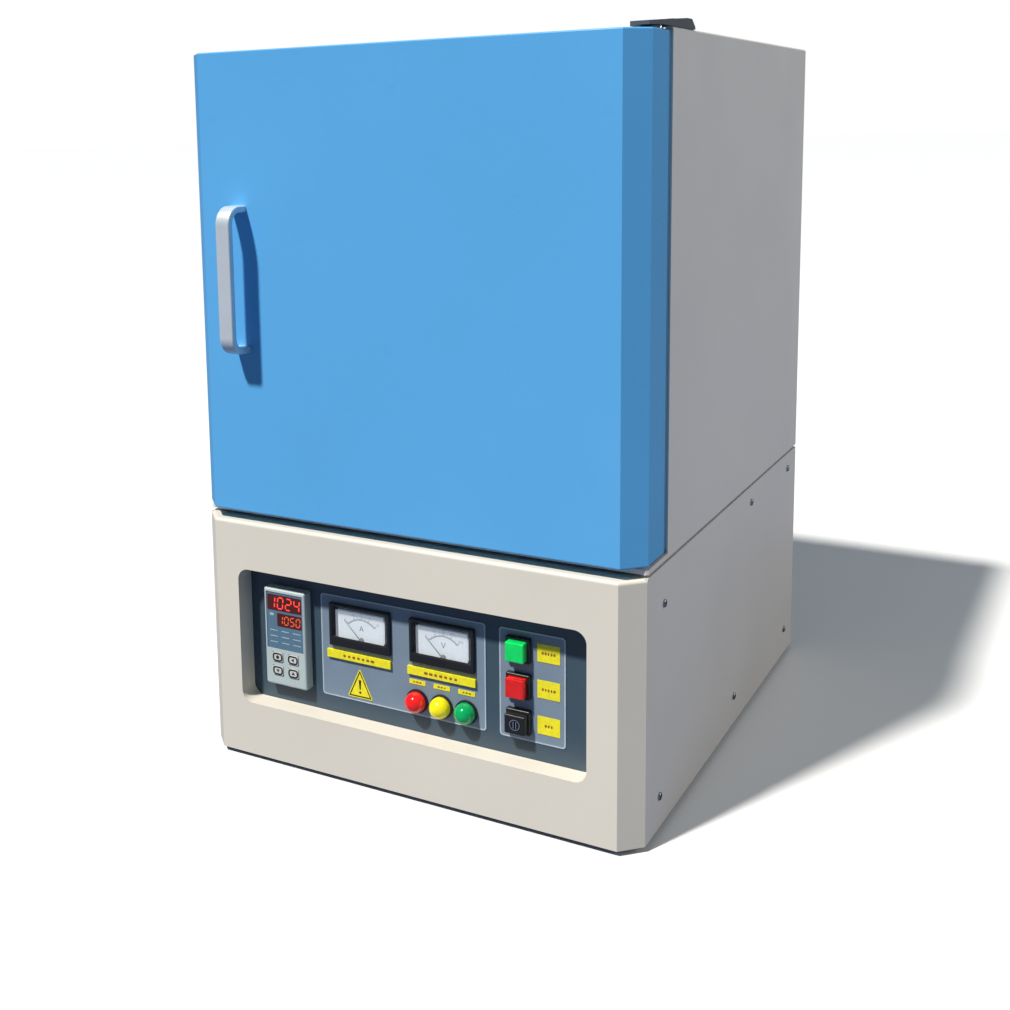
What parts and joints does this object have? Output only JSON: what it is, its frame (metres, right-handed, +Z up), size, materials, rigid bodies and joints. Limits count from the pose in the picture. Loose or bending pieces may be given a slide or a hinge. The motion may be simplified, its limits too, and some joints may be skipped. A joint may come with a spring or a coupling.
{
  "type": "bench-top electric chamber kiln",
  "caption": "Front-loading electric chamber kiln with a side-hinged insulated door, fibre-lined firing chamber and a control base with meters, lamps, buttons and a temperature controller.",
  "frame": {"origin": "on the floor under the middle of the whole bounding box", "axes": "+X to the right seen from the front, -Y out of the front of the door, +Z up"},
  "size_m": [0.4302, 0.549, 0.6625],
  "materials": {
    "beige_paint": "fine powder coat",
    "cabinet_paint": "fine grey powder coat",
    "zinc_plate": "zinc-plated sheet",
    "rubber": "matt",
    "seal_strip": "matt",
    "screw_steel": "satin",
    "panel_plastic": "matt",
    "overlay_film": "fine matt film",
    "legend_yellow": "satin print",
    "controller_plastic": "satin",
    "display_dark": "smoked window",
    "key_rubber": "matt",
    "meter_black": "moulded",
    "needle_black": "matt",
    "dial_white": "printed card",
    "clear_window": "clear",
    "lamp_red": "translucent",
    "lamp_yellow": "translucent",
    "lamp_green": "translucent",
    "lamp_collar": "satin",
    "button_green": "translucent cap",
    "button_red": "translucent cap",
    "switch_black": "moulded",
    "lock_metal": "bright",
    "heatsink_aluminium": "extruded",
    "terminal_plastic": "moulded",
    "fibre": "vacuum-formed ceramic fibre",
    "hearth": "fired refractory",
    "element": "oxidised resistance wire",
    "sheath": "ceramic sheath",
    "blue_paint": "satin powder coat",
    "door_plate_paint": "heat-resistant paint",
    "handle_aluminium": "satin lacquered",
    "hinge_black": "satin black",
    "pin_steel": "turned",
    "magnet": "bonded magnet"
  },
  "bodies": {
    "cabinet": {"base_front_panel": "beige_paint", "base_side_left": "cabinet_paint", "base_side_right": "cabinet_paint", "base_rear_panel": "cabinet_paint", "base_top_deck": "cabinet_paint", "casing_shell": "cabinet_paint", "casing_floor": "cabinet_paint", "casing_rear_panel": "cabinet_paint", "terminal_cover": "cabinet_paint", "front_frame": "cabinet_paint", "base_floor_pan": "zinc_plate", "inner_shell": "zinc_plate", "feet": "rubber", "seam_gasket": "seal_strip", "side_screws": "screw_steel", "control_panel": "panel_plastic", "panel_overlays": "overlay_film", "legend_plates": "legend_yellow", "controller_case": "controller_plastic", "controller_display": "display_dark", "ammeter_case": "meter_black", "voltmeter_case": "meter_black", "meter_dials": "dial_white", "meter_windows": "clear_window", "lamp_red": "lamp_red", "lamp_yellow": "lamp_yellow", "lamp_green": "lamp_green", "lamp_bodies": "lamp_collar", "button_housings": "switch_black", "key_switch_housing": "switch_black", "contactor": "switch_black", "mains_breaker": "switch_black", "fan_frame": "switch_black", "cable_gland": "switch_black", "power_relay": "heatsink_aluminium", "terminal_block": "terminal_plastic", "chamber_insulation": "fibre", "rear_insulation": "fibre", "door_gasket": "fibre", "hearth_plate": "hearth", "heating_elements": "element", "thermocouple": "sheath", "hinge_plates": "hinge_black", "hinge_pins": "pin_steel", "door_magnet": "magnet"},
    "door": {"door_shell": "blue_paint", "door_back_plate": "door_plate_paint", "door_insulation": "fibre", "door_handle": "handle_aluminium"},
    "start_push": {"start_button": "button_green"},
    "stop_push": {"stop_button": "button_red"},
    "set_key": {"key_set": "key_rubber"},
    "shift_key": {"key_shift": "key_rubber"},
    "down_key": {"key_down": "key_rubber"},
    "up_key": {"key_up": "key_rubber"},
    "ammeter_pointer": {"ammeter_needle": "needle_black"},
    "voltmeter_pointer": {"voltmeter_needle": "needle_black"},
    "lock_plug": {"key_switch_cylinder": "lock_metal"},
    "cooling_impeller": {"fan_rotor": "switch_black"},
    "breaker_handle": {"breaker_lever": "switch_black"}
  },
  "joints": [
    {"name": "door_hinge", "type": "hinge", "parent": "cabinet", "child": "door", "pos_m": [0.2045, -0.1955, 0.44], "axis": [0, 0, 1], "range_deg": [0, 95]},
    {"name": "start_press", "type": "slide", "parent": "cabinet", "child": "start_push", "axis": [0, 1, 0], "range_m": [0, 0.003], "stiffness_N_per_m": 400},
    {"name": "stop_press", "type": "slide", "parent": "cabinet", "child": "stop_push", "axis": [0, 1, 0], "range_m": [0, 0.003], "stiffness_N_per_m": 400},
    {"name": "set_key_press", "type": "slide", "parent": "cabinet", "child": "set_key", "axis": [0, 1, 0], "range_m": [0, 0.0008], "stiffness_N_per_m": 600},
    {"name": "shift_key_press", "type": "slide", "parent": "cabinet", "child": "shift_key", "axis": [0, 1, 0], "range_m": [0, 0.0008], "stiffness_N_per_m": 600},
    {"name": "down_key_press", "type": "slide", "parent": "cabinet", "child": "down_key", "axis": [0, 1, 0], "range_m": [0, 0.0008], "stiffness_N_per_m": 600},
    {"name": "up_key_press", "type": "slide", "parent": "cabinet", "child": "up_key", "axis": [0, 1, 0], "range_m": [0, 0.0008], "stiffness_N_per_m": 600},
    {"name": "ammeter_swing", "type": "hinge", "parent": "cabinet", "child": "ammeter_pointer", "pos_m": [-0.0525, -0.2312, 0.1288], "axis": [0, 1, 0], "range_deg": [0, 90], "stiffness_Nm_per_rad": 0.0005},
    {"name": "voltmeter_swing", "type": "hinge", "parent": "cabinet", "child": "voltmeter_pointer", "pos_m": [0.0302, -0.2312, 0.1288], "axis": [0, 1, 0], "range_deg": [0, 90], "stiffness_Nm_per_rad": 0.0005},
    {"name": "lock_turn", "type": "hinge", "parent": "cabinet", "child": "lock_plug", "pos_m": [0.1027, -0.225, 0.088], "axis": [0, 1, 0], "range_deg": [0, 90]},
    {"name": "fan_spin", "type": "hinge", "parent": "cabinet", "child": "cooling_impeller", "pos_m": [0.11, 0.2365, 0.12], "axis": [0, 1, 0], "continuous": true},
    {"name": "breaker_throw", "type": "hinge", "parent": "cabinet", "child": "breaker_handle", "pos_m": [-0.15, 0.2425, 0.12], "axis": [1, 0, 0], "range_deg": [0, 50]}
  ]
}
